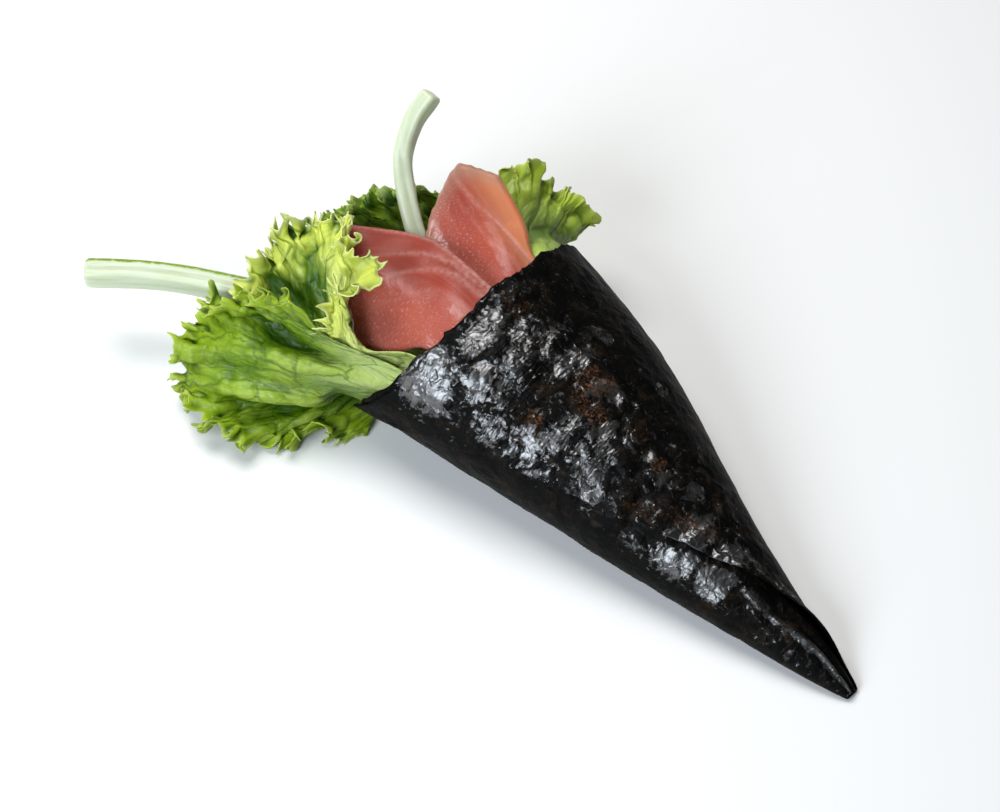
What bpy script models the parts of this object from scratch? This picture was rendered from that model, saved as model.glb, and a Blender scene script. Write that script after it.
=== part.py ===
"""Temaki hand roll: a nori cone on its side with lettuce, tuna slices and cucumber sticks.

Working frame, in millimetres: the floor is z = 0, the middle of the mouth stands over
x = y = 0, the closed tip points along +X and the near side of the roll is -Y. The finished
part is moved so that its bounding box is centred over the origin.
"""
import math

import bpy
import numpy as np
from mathutils import Vector

MM = 0.001

# driving dimensions, mm
CONE_LENGTH = 115.2
MOUTH_HALF_WIDTH = 30.5
MOUTH_HALF_HEIGHT = 22.7
TIP_HALF_WIDTH = 1.7
TIP_HALF_HEIGHT = 1.5
SIDE_FULLNESS = 0.84        # below 1 the sides of the cone bulge a little
# how much more than the near side the far side stands out, at shares of the length
FAR_SIDE_BULGE = ((0.0, 0.4), (0.35, 2.7), (0.6, -1.0), (0.75, -2.0), (0.9, -1.4), (1.0, 0.0))
MOUTH_FLAT_DEPTH = 2.4      # how far the rounded underside is pressed flat
TIP_FLAT_DEPTH = 0.75
NORI_THICKNESS = 0.4
LAYER_GAP = 0.25
LEAF_THICKNESS = 1.4
TUNA_THICKNESS = 4.3
LEFT_STICK_WIDTH = 6.0
TOP_STICK_WIDTH = 4.5
PIECE_CLEARANCE = 0.5       # from one piece to the next
FLOOR_CLEARANCE = 0.8       # lowest point of a leaf above the floor
FINE_STEPS = 161            # samples that a smooth curve is measured with

# depths under the outer face of the cone, mm
INNER_LAYER_DEPTH = -(NORI_THICKNESS + LAYER_GAP)
WALL_DEPTH = INNER_LAYER_DEPTH - NORI_THICKNESS - PIECE_CLEARANCE


def smooth_step(value, start, end):
    """Ease from 0 at start to 1 at end."""
    share = min(max((value - start) / (end - start), 0.0), 1.0)
    return share * share * (3.0 - 2.0 * share)


def read_curve(stations, place):
    """Value at a place on a smooth curve through (place, value) stations."""
    places, values = np.array(stations).T
    slopes = np.gradient(values, places)
    index = int(np.clip(np.searchsorted(places, place) - 1, 0, len(places) - 2))
    span = places[index + 1] - places[index]
    t = min(max((place - places[index]) / span, 0.0), 1.0)
    ease = t * t * (3.0 - 2.0 * t)
    bend = slopes[index] * t * (1.0 - t) ** 2 - slopes[index + 1] * t * t * (1.0 - t)
    return float(values[index] * (1.0 - ease) + values[index + 1] * ease + span * bend)


def smooth_path(points, count):
    """Points at equal steps along a Catmull-Rom curve through the given points."""
    points = np.asarray(points, dtype=float)
    ends = 2.0 * points[[0, -1]] - points[[1, -2]]
    ring = np.vstack([ends[:1], points, ends[1:]])
    path = []
    for step in np.linspace(0.0, len(points) - 1.0, FINE_STEPS):
        index = min(int(step), len(points) - 2)
        t = step - index
        a, b, c, d = ring[index:index + 4]
        path.append(0.5 * (2.0 * b + (c - a) * t + (2.0 * a - 5.0 * b + 4.0 * c - d) * t ** 2
                           + (3.0 * b - a - 3.0 * c + d) * t ** 3))
    path = np.array(path)
    travelled = np.r_[0.0, np.cumsum(np.linalg.norm(np.diff(path, axis=0), axis=1))]
    wanted = np.linspace(0.0, travelled[-1], count)
    return np.stack([np.interp(wanted, travelled, path[:, axis]) for axis in range(3)], axis=1)


def cone_section(x):
    """Half width, half height and centre height of the cone's outer face at x."""
    share = max(1.0 - x / CONE_LENGTH, 0.0) ** SIDE_FULLNESS
    half_width = TIP_HALF_WIDTH + (MOUTH_HALF_WIDTH - TIP_HALF_WIDTH) * share
    half_height = TIP_HALF_HEIGHT + (MOUTH_HALF_HEIGHT - TIP_HALF_HEIGHT) * share
    flat_depth = TIP_FLAT_DEPTH + (MOUTH_FLAT_DEPTH - TIP_FLAT_DEPTH) * share
    return half_width, half_height, half_height - flat_depth


def on_cone(x, angle, depth):
    """Point at an angle (0 far side, 90 top, 180 near side) and a depth below the outer face."""
    half_width, half_height, centre = cone_section(x)
    turn = math.radians(angle)
    bulge = read_curve(FAR_SIDE_BULGE, x / CONE_LENGTH) * max(math.cos(turn), 0.0)
    y = (half_width + depth) * math.cos(turn) + bulge
    z = centre + (half_height + depth) * math.sin(turn)
    return np.array([x, y, max(z, 0.0)])


def make_material(name, colour, roughness):
    material = bpy.data.materials.new(name)
    material.use_nodes = True
    shader = material.node_tree.nodes["Principled BSDF"]
    shader.inputs["Base Color"].default_value = (*colour, 1.0)
    shader.inputs["Roughness"].default_value = roughness
    shader.inputs["Metallic"].default_value = 0.0
    return material


def make_object(name, points, faces, material):
    mesh = bpy.data.meshes.new(name)
    mesh.from_pydata([Vector(point) * MM for point in points], [], faces)
    mesh.materials.append(material)
    mesh.shade_smooth()
    piece = bpy.data.objects.new(name, mesh)
    bpy.context.collection.objects.link(piece)
    return piece


def make_sheet(name, grid, thickness, material):
    """Sheet whose outer face is the grid and whose thickness lies behind it."""
    rows, columns = grid.shape[:2]
    faces = []
    for row in range(rows - 1):
        for column in range(columns - 1):
            corner = row * columns + column
            faces.append((corner, corner + 1, corner + columns + 1, corner + columns))
    sheet = make_object(name, grid.reshape(-1, 3), faces, material)
    solidify = sheet.modifiers.new("thickness", "SOLIDIFY")
    solidify.thickness = thickness * MM
    solidify.offset = -1.0
    return sheet


def ribs_to_grid(ribs, rows, columns):
    """Grid that runs along the ribs in rows and smoothly from rib to rib in columns."""
    lines = np.array([smooth_path(rib, rows) for rib in ribs])
    return np.array([smooth_path(lines[:, row], columns) for row in range(rows)])


def grid_normals(grid):
    along = np.gradient(grid, axis=0)
    across = np.gradient(grid, axis=1)
    normals = np.cross(across, along)
    return normals / np.linalg.norm(normals, axis=2, keepdims=True)


# ---- nori ---------------------------------------------------------------------------------

WRAP_STEPS = 50
LENGTH_STEPS = 15

# where the sheet's loose edge lies round the cone, as degrees of wrap at places along it
LOOSE_EDGE = ((0.0, 557.0), (0.2, 523.0), (0.5, 494.0), (0.68, 464.0), (0.84, 424.0),
              (0.93, 388.0), (1.0, 372.0))
# how far each part of the rim stands out past the mouth, in mm at degrees of wrap
RIM_REACH = ((0.0, -7.0), (90.0, -8.5), (150.0, -4.0), (195.0, 6.8), (215.0, 8.0),
             (245.0, 5.0), (290.0, 2.0), (340.0, -2.0), (384.0, -5.0), (450.0, -7.2),
             (500.0, -6.0), (535.0, -1.0), (557.0, 6.4))
FLAP_LIFT = 0.9             # how far the loose edge gapes near the tip
FLAP_WIDTH = 50.0           # degrees of wrap that the gape bends over


def nori_depth(share, wrap, loose_edge):
    """Depth of the outer face: the first turn lies under the second."""
    depth = INNER_LAYER_DEPTH * (1.0 - smooth_step(wrap, 215.0, 345.0))
    gape = smooth_step(share, 0.6, 0.8) * (1.0 - smooth_step(share, 0.86, 0.98))
    return depth + FLAP_LIFT * gape * smooth_step(wrap, loose_edge - FLAP_WIDTH, loose_edge) ** 2


def make_nori_sheet():
    grid = np.zeros((LENGTH_STEPS + 1, WRAP_STEPS + 1, 3))
    for row in range(LENGTH_STEPS + 1):
        share = row / LENGTH_STEPS
        loose_edge = read_curve(LOOSE_EDGE, share)
        for column in range(WRAP_STEPS + 1):
            wrap = loose_edge * column / WRAP_STEPS
            rim = -read_curve(RIM_REACH, wrap)
            x = rim + (CONE_LENGTH - rim) * share
            grid[row, column] = on_cone(x, wrap, nori_depth(share, wrap, loose_edge))
    nori = make_material("roasted_nori", (0.012, 0.013, 0.011), 0.35)
    return make_sheet("nori_sheet", grid[:, ::-1], NORI_THICKNESS, nori)


# ---- lettuce ------------------------------------------------------------------------------

LEAF_ROOT = 30.0            # how far into the cone a leaf starts
LEAF_ROWS = 13
SECOND_LEAF_GAP = 1.6       # between a leaf on the wall and the next one inside it


def make_leaf(name, ribs, columns, waves, wave_height, colour):
    """Leaf that fans out from the cone's wall.

    Each rib has its angle and depth inside the cone, the place where it leaves the wall,
    and the points that it passes outside on its way to the margin.
    """
    lines = []
    for angle, depth, rim, outside in ribs:
        root = [on_cone(x, angle, depth) for x in (LEAF_ROOT, 0.5 * (LEAF_ROOT + rim), rim)]
        lines.append(np.vstack([root, outside]))
    grid = ribs_to_grid(lines, LEAF_ROWS, columns)
    along = np.linspace(0.0, 1.0, LEAF_ROWS)[:, None, None]
    across = np.linspace(0.0, 1.0, columns)[None, :, None]
    swing = np.sin(2.0 * math.pi * waves * across) * wave_height
    grid = grid + grid_normals(grid) * swing * np.clip(2.0 * along - 1.0, 0.0, 1.0) ** 2
    grid[:, :, 2] = np.maximum(grid[:, :, 2], FLOOR_CLEARANCE + LEAF_THICKNESS)
    return make_sheet(name, grid, LEAF_THICKNESS, make_material(name + "_green", colour, 0.45))


def make_leaves():
    wall = WALL_DEPTH
    second = wall - LEAF_THICKNESS - SECOND_LEAF_GAP
    make_leaf("lettuce_leaf_front", [
        (236.0, wall, -9.0, [(-12.5, -30.5, 4.4)]),
        (222.0, wall, -12.5, [(-16.0, -39.0, 6.5), (-20.0, -52.5, 4.0)]),
        (208.0, wall, -12.0, [(-22.0, -43.0, 10.0), (-36.8, -57.0, 7.0)]),
        (192.0, wall, -9.0, [(-23.0, -42.0, 15.5), (-43.6, -51.6, 12.5)]),
        (174.0, wall, -3.0, [(-21.0, -38.0, 22.5), (-45.6, -43.9, 20.0)]),
        (160.0, wall, 0.0, [(-20.5, -34.0, 28.5), (-44.8, -36.8, 27.0)]),
    ], 30, 5.0, 1.6, (0.20, 0.42, 0.05))
    make_leaf("lettuce_leaf_middle", [
        (194.0, second, -2.0, [(-22.0, -31.0, 20.0), (-41.0, -34.5, 25.5)]),
        (182.0, second, -2.0, [(-20.0, -28.5, 28.0), (-44.5, -20.0, 28.5)]),
        (168.0, second, 0.0, [(-16.0, -29.0, 31.0), (-32.0, -13.0, 39.5)]),
        (155.0, second, 2.0, [(-8.5, -27.3, 31.0), (-15.5, -26.0, 36.0), (-17.5, -16.5, 41.0)]),
        (139.0, wall, 4.0, [(-5.0, -25.8, 31.0), (-13.0, -29.0, 33.5)]),
    ], 26, 3.0, 1.0, (0.26, 0.48, 0.07))
    make_leaf("lettuce_leaf_back", [
        (53.0, wall, 4.0, [(-4.0, 20.0, 30.5), (-18.0, 26.0, 35.5)]),
        (41.0, wall, 4.0, [(-4.0, 25.0, 29.5), (-12.6, 34.2, 34.5)]),
        (28.0, wall, 4.0, [(-3.0, 29.0, 25.5), (-5.5, 38.0, 29.5)]),
        (14.0, wall, 3.0, [(-4.0, 31.0, 19.0), (-1.5, 39.5, 23.0)]),
        (-4.0, wall, 2.0, [(-6.0, 30.5, 12.0), (-9.0, 37.0, 14.0)]),
    ], 22, 4.0, 1.3, (0.24, 0.46, 0.06))
    make_leaf("lettuce_leaf_inner", [
        (28.0, second, 4.0, [(-8.0, 18.0, 26.0), (-22.0, 19.0, 33.0)]),
        (8.0, second, 2.0, [(-12.0, 19.0, 18.0), (-34.3, 10.5, 28.5)]),
        (-16.0, second, 0.0, [(-14.0, 15.0, 10.0), (-44.5, -1.0, 21.0)]),
        (-40.0, second, 0.0, [(-12.0, 9.0, 4.5), (-36.0, -4.0, 12.0)]),
    ], 18, 3.0, 1.2, (0.12, 0.30, 0.04))


# ---- tuna ---------------------------------------------------------------------------------

SLICE_ROWS = 11
SLICE_COLUMNS = 9
SLICE_STATIONS = (32.0, 18.0, 5.0)      # places inside the cone that a slice passes


def make_tuna_slice(name, ribs, material):
    """Slice whose ribs lie along the inner wall and run out of the mouth."""
    lines = []
    for angle, depth, outside in ribs:
        inside = [on_cone(x, angle, depth) for x in SLICE_STATIONS]
        lines.append(np.vstack([inside, outside]))
    grid = ribs_to_grid(lines, SLICE_ROWS, SLICE_COLUMNS)
    return make_sheet(name, grid, TUNA_THICKNESS, material)


def make_tuna():
    tuna = make_material("raw_tuna", (0.46, 0.10, 0.07), 0.35)
    make_tuna_slice("tuna_slice_front", [
        (132.0, WALL_DEPTH, [(-2.0, -22.5, 30.0), (-10.4, -25.4, 26.0)]),
        (110.0, WALL_DEPTH, [(-8.0, -11.5, 36.0), (-22.5, -18.0, 32.5)]),
        (88.0, WALL_DEPTH, [(-15.3, 0.7, 38.5), (-33.6, -9.7, 36.0)]),
    ], tuna)
    under = WALL_DEPTH - TUNA_THICKNESS - PIECE_CLEARANCE
    make_tuna_slice("tuna_slice_back", [
        (99.0, under - 0.6, [(-3.0, -4.0, 30.8), (-8.0, -4.0, 30.8)]),
        (86.0, under, [(-7.0, 4.5, 33.2), (-18.5, 9.2, 39.0)]),
        (72.0, WALL_DEPTH - 1.4, [(-9.0, 12.5, 39.5), (-20.5, 16.5, 45.5)]),
        (58.0, WALL_DEPTH, [(-2.0, 18.5, 39.5), (-12.5, 20.5, 45.0)]),
    ], tuna)


# ---- cucumber -----------------------------------------------------------------------------

STICK_SIDES = 10
STICK_STEPS = 16
SQUARENESS = 0.08           # how far the section's corners stand out, as a share of its radius
END_NARROWING = 0.82


def make_stick(name, points, width, material):
    """Bent baton with a rounded square section and slightly narrowed ends."""
    path = smooth_path(points, STICK_STEPS)
    tangents = np.gradient(path, axis=0)
    tangents /= np.linalg.norm(tangents, axis=1, keepdims=True)
    corners = []
    for step, (centre, tangent) in enumerate(zip(path, tangents)):
        side = np.cross((0.0, 0.0, 1.0), tangent)
        side /= np.linalg.norm(side)
        lift = np.cross(tangent, side)
        end = min(step, STICK_STEPS - 1 - step)
        radius = 0.5 * width * (END_NARROWING if end == 0 else 1.0)
        for corner in range(STICK_SIDES):
            turn = 2.0 * math.pi * (corner + 0.5) / STICK_SIDES
            fullness = 1.0 + SQUARENESS * math.cos(4.0 * turn + math.pi)
            corners.append(centre + radius * fullness
                           * (side * math.cos(turn) + lift * math.sin(turn)))
    faces = []
    for step in range(STICK_STEPS - 1):
        for corner in range(STICK_SIDES):
            next_corner = (corner + 1) % STICK_SIDES
            base = step * STICK_SIDES
            faces.append((base + corner, base + next_corner,
                          base + STICK_SIDES + next_corner, base + STICK_SIDES + corner))
    last = (STICK_STEPS - 1) * STICK_SIDES
    faces.append(tuple(range(STICK_SIDES))[::-1])
    faces.append(tuple(last + corner for corner in range(STICK_SIDES)))
    return make_object(name, corners, faces, material)


def make_cucumber():
    cucumber = make_material("cucumber_flesh", (0.66, 0.80, 0.50), 0.4)
    make_stick("cucumber_stick_left", [
        (-72.5, -52.2, 20.0), (-60.0, -40.7, 20.0), (-44.7, -30.8, 20.0),
        (-22.0, -19.0, 20.0), (0.0, -10.0, 18.5), (22.0, -7.5, 14.5),
    ], LEFT_STICK_WIDTH, cucumber)
    make_stick("cucumber_stick_top", [
        (-32.7, 19.8, 56.0), (-33.0, 13.8, 50.5), (-30.5, 8.4, 43.0), (-21.3, 3.1, 33.0),
        (-11.0, 0.5, 25.5), (2.0, 0.0, 22.5), (20.0, 0.5, 18.0),
    ], TOP_STICK_WIDTH, cucumber)


# ---- whole roll ---------------------------------------------------------------------------

def centre_over_origin():
    """Move every mesh so that the bounding box is centred over the origin."""
    graph = bpy.context.evaluated_depsgraph_get()
    corners = []
    for piece in bpy.data.objects:
        evaluated = piece.evaluated_get(graph)
        corners.extend(evaluated.matrix_world @ Vector(corner) for corner in evaluated.bound_box)
    low = Vector(min(corner[axis] for corner in corners) for axis in range(3))
    high = Vector(max(corner[axis] for corner in corners) for axis in range(3))
    shift = Vector((-0.5 * (low.x + high.x), -0.5 * (low.y + high.y), -low.z))
    for piece in bpy.data.objects:
        for vertex in piece.data.vertices:
            vertex.co += shift


def main():
    for leftover in list(bpy.data.objects):
        bpy.data.objects.remove(leftover, do_unlink=True)
    make_nori_sheet()
    make_leaves()
    make_tuna()
    make_cucumber()
    centre_over_origin()


main()
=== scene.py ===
import math

import bpy
import numpy as np
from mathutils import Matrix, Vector, noise


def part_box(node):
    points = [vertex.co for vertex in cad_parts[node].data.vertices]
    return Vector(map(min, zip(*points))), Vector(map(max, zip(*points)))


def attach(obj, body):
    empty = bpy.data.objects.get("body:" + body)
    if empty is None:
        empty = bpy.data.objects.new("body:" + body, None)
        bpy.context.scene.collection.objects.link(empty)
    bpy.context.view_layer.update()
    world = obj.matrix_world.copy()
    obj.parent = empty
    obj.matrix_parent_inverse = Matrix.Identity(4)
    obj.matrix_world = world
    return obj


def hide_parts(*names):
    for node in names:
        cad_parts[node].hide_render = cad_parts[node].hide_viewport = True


# Temaki hand roll. Shapes are worked out in millimetres, with the floor at z = 0, the middle of
# the mouth over x = y = 0 and the tip along +X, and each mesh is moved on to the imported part.

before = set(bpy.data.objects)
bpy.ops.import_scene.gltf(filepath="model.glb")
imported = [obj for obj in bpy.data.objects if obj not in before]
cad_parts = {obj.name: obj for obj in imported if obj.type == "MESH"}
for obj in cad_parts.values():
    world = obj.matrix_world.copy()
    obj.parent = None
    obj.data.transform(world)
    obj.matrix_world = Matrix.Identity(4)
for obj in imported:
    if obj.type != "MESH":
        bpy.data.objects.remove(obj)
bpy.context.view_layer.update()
bpy.ops.object.select_all(action="DESELECT")
scene = bpy.context.scene
print("frame loaded:", sorted(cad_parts))

mm = 0.001


# ---- shapes ----

def smoothStep(value, start, end):
    share = np.clip((value - start) / (end - start), 0.0, 1.0)
    return share * share * (3.0 - 2.0 * share)


def readCurve(stations, place):
    # value at a place on a smooth curve through (place, value) stations
    places, values = np.array(stations, float).T
    slopes = np.gradient(values, places)
    index = np.clip(np.searchsorted(places, place) - 1, 0, len(places) - 2)
    span = places[index + 1] - places[index]
    t = np.clip((place - places[index]) / span, 0.0, 1.0)
    ease = t * t * (3.0 - 2.0 * t)
    bend = slopes[index] * t * (1.0 - t) ** 2 - slopes[index + 1] * t * t * (1.0 - t)
    return values[index] * (1.0 - ease) + values[index + 1] * ease + span * bend


def smoothPath(points, shares):
    # points at shares of the length of a smooth curve through the given points
    points = np.asarray(points, float)
    ring = np.vstack([2 * points[:1] - points[1:2], points, 2 * points[-1:] - points[-2:-1]])
    steps = np.linspace(0.0, len(points) - 1.0, 4 * len(shares))
    index = np.minimum(steps.astype(int), len(points) - 2)
    t = (steps - index)[:, None]
    a, b, c, d = (ring[index + offset] for offset in range(4))
    path = 0.5 * (2 * b + (c - a) * t + (2 * a - 5 * b + 4 * c - d) * t ** 2
                  + (3 * b - a - 3 * c + d) * t ** 3)
    travelled = np.r_[0.0, np.cumsum(np.linalg.norm(np.diff(path, axis=0), axis=1))]
    wanted = np.asarray(shares) * travelled[-1]
    return np.stack([np.interp(wanted, travelled, path[:, axis]) for axis in range(3)], axis=1)


def ribsToGrid(ribs, rowShares, columnShares):
    # rows run along the ribs and columns from rib to rib
    lines = np.array([smoothPath(rib, rowShares) for rib in ribs])
    return np.array([smoothPath(lines[:, row], columnShares) for row in range(len(rowShares))])


def unit(vectors):
    return vectors / np.maximum(np.linalg.norm(vectors, axis=-1, keepdims=True), 1e-9)


def gridDirections(grid):
    # outward normal, direction across the columns and direction along the rows
    across = unit(np.gradient(grid, axis=1))
    along = unit(np.gradient(grid, axis=0))
    return unit(np.cross(across, along)), across, along


def noiseAt(points, size, seed=0.0):
    # smooth noise from about -1 to 1, with features of the given size in mm
    flat = np.asarray(points, float).reshape(-1, 3) / size + seed
    values = [noise.noise(Vector(point)) for point in flat]
    return np.array(values).reshape(np.shape(points)[:-1])


def line(values, seed=0.0):
    # a row of places turned into points, for noise along a line
    values = np.asarray(values, float)
    return np.stack([values, np.full_like(values, seed), np.full_like(values, 0.37 * seed)], -1)


cone = {
    "length": 115.2,
    "mouthHalfWidth": 30.5,
    "mouthHalfHeight": 22.7,
    "tipHalfWidth": 1.7,
    "tipHalfHeight": 1.5,
    "fullness": 0.84,           # below 1 the sides bulge a little
    "farBulge": ((0, 0.4), (0.35, 2.7), (0.6, -1.0), (0.75, -2.0), (0.9, -1.4), (1, 0)),
    "mouthFlat": 2.4,           # how far the underside is pressed flat
    "tipFlat": 0.75,
}
innerLayer = -0.65              # depth of the first turn of nori under the second
wallDepth = -1.55               # depth of the filling's outer side
secondLeaf = -4.55


def onCone(x, angle, depth):
    # angle 0 is the far side, 90 the top and 180 the near side
    x, angle, depth = np.broadcast_arrays(np.asarray(x, float), angle, depth)
    share = np.maximum(1.0 - x / cone["length"], 0.0) ** cone["fullness"]
    halfWidth = cone["tipHalfWidth"] + (cone["mouthHalfWidth"] - cone["tipHalfWidth"]) * share
    halfHeight = cone["tipHalfHeight"] + (cone["mouthHalfHeight"] - cone["tipHalfHeight"]) * share
    flat = cone["tipFlat"] + (cone["mouthFlat"] - cone["tipFlat"]) * share
    turn = np.radians(angle)
    bulge = readCurve(cone["farBulge"], x / cone["length"]) * np.maximum(np.cos(turn), 0.0)
    y = (halfWidth + depth) * np.cos(turn) + bulge
    z = halfHeight - flat + (halfHeight + depth) * np.sin(turn)
    return np.stack([x, y, np.maximum(z, 0.0)], axis=-1)


nori = {
    "columns": 330,
    "rows": 140,
    "thickness": 0.3,
    "looseEdge": ((0, 557), (0.2, 523), (0.5, 494), (0.68, 464), (0.84, 424), (0.93, 388),
                  (1, 372)),
    "rimReach": ((0, -7), (90, -8.5), (150, -4), (195, 4.0), (215, 5), (245, 3.8), (290, 2),
                 (340, -2), (384, -5), (450, -7.2), (500, -6), (535, -1), (557, 6.4)),
    "flapLift": 1.5,
    "flapWidth": 50.0,
}


def noriSurface():
    # the plain rolled sheet: degrees of wrap, share of the length, and depth of each point
    share = np.linspace(0.0, 1.0, nori["rows"] + 1)[:, None]
    column = np.linspace(0.0, 1.0, nori["columns"] + 1)[None, :]
    looseEdge = readCurve(nori["looseEdge"], share)
    wrap = looseEdge * readCurve(((0, 0), (0.12, 0.3), (0.6, 0.68), (1, 1)), column)
    depth = innerLayer * (1.0 - smoothStep(wrap, 215.0, 345.0))
    gape = smoothStep(share, 0.6, 0.8) * (1.0 - smoothStep(share, 0.86, 0.98))
    flap = smoothStep(wrap, looseEdge - nori["flapWidth"], looseEdge) ** 2
    rim = -readCurve(nori["rimReach"], wrap)
    x = rim + (cone["length"] - rim) * share
    return x, wrap, share, looseEdge, depth + nori["flapLift"] * gape * flap


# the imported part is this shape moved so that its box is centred: the tip of the nori and the
# near edge of the front slice, which stands at y = -25.73 here, give the move
origin = np.array([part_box("nori_sheet")[1].x / mm - cone["length"],
                   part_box("tuna_slice_front")[0].y / mm + 25.73, 0.0])
print("origin of the working frame, mm:", origin.round(3))


def newPiece(name, grid, thickness, material, fields):
    # a grid primitive whose points take the given places, then a thickness behind them
    rows, columns = grid.shape[:2]
    bpy.ops.object.select_all(action="DESELECT")
    bpy.ops.mesh.primitive_grid_add(x_subdivisions=columns - 1, y_subdivisions=rows - 1, size=mm)
    piece = bpy.context.object
    piece.name = name
    mesh = piece.data
    mesh.name = name
    mesh.vertices.foreach_set("co", ((grid + origin) * mm).reshape(-1).astype(np.float32))
    for field, values in fields.items():
        kind = "FLOAT_VECTOR" if values.ndim == 3 else "FLOAT"
        attribute = mesh.attributes.new(field, kind, "POINT")
        attribute.data.foreach_set("vector" if values.ndim == 3 else "value",
                                   values.astype(np.float32).reshape(-1))
    mesh.update()
    if thickness:
        wall = piece.modifiers.new("thickness", "SOLIDIFY")
        wall.thickness = thickness * mm
        wall.offset = -1.0
        bpy.ops.object.modifier_apply(modifier=wall.name)
    bpy.ops.object.shade_smooth()
    mesh.materials.append(material)
    return piece


def sitOn(piece, node):
    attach(piece, "root")
    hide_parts(node)
    print(node, "made:", len(piece.data.polygons), "faces")


# ---- materials ----

def hexColour(text):
    # sRGB hex to the linear colour that a node takes
    values = [int(text[index:index + 2], 16) / 255.0 for index in (0, 2, 4)]
    return [v / 12.92 if v <= 0.04045 else ((v + 0.055) / 1.055) ** 2.4 for v in values] + [1.0]


def addNode(tree, kind, inputs=None, ramp=None, **settings):
    # one node with its settings; an input is a value or another node's output
    node = tree.nodes.new("ShaderNode" + kind)
    for name, value in settings.items():
        setattr(node, name, value)
    for name, value in (inputs or {}).items():
        if isinstance(value, bpy.types.NodeSocket):
            tree.links.new(value, node.inputs[name])
        else:
            node.inputs[name].default_value = value
    if ramp:
        while len(node.color_ramp.elements) < len(ramp):
            node.color_ramp.elements.new(0.5)
        for element, (position, colour) in zip(node.color_ramp.elements, ramp):
            element.position = position
            element.color = hexColour(colour) if isinstance(colour, str) else [colour] * 3 + [1.0]
    return node


def startMaterial(name):
    material = bpy.data.materials.new(name)
    material.use_nodes = True
    return material, material.node_tree, material.node_tree.nodes["Principled BSDF"]


def setSockets(shader, values):
    for name, value in values.items():
        shader.inputs[name].default_value = value


def tiltedFacets(tree, position, size, slope):
    # height of small flat facets, each tilted its own way
    cells = addNode(tree, "TexVoronoi", {"Vector": position, "Scale": 1.0 / size})
    edges = addNode(tree, "TexVoronoi", {"Vector": position, "Scale": 1.0 / size},
                    feature="DISTANCE_TO_EDGE")
    offset = addNode(tree, "VectorMath", {0: position, 1: cells.outputs["Position"]},
                     operation="SUBTRACT")
    tilt = addNode(tree, "VectorMath", {0: cells.outputs["Color"], 1: (0.5, 0.5, 0.5)},
                   operation="SUBTRACT")
    lean = addNode(tree, "VectorMath", {0: offset.outputs["Vector"], 1: tilt.outputs["Vector"]},
                   operation="DOT_PRODUCT")
    inside = addNode(tree, "MapRange", {"Value": edges.outputs["Distance"], 1: 0.0, 2: 0.3,
                                        3: 0.0, 4: 2.0 * slope}, interpolation_type="SMOOTHSTEP")
    return addNode(tree, "Math", {0: lean.outputs["Value"], 1: inside.outputs[0]},
                   operation="MULTIPLY").outputs[0]


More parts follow.
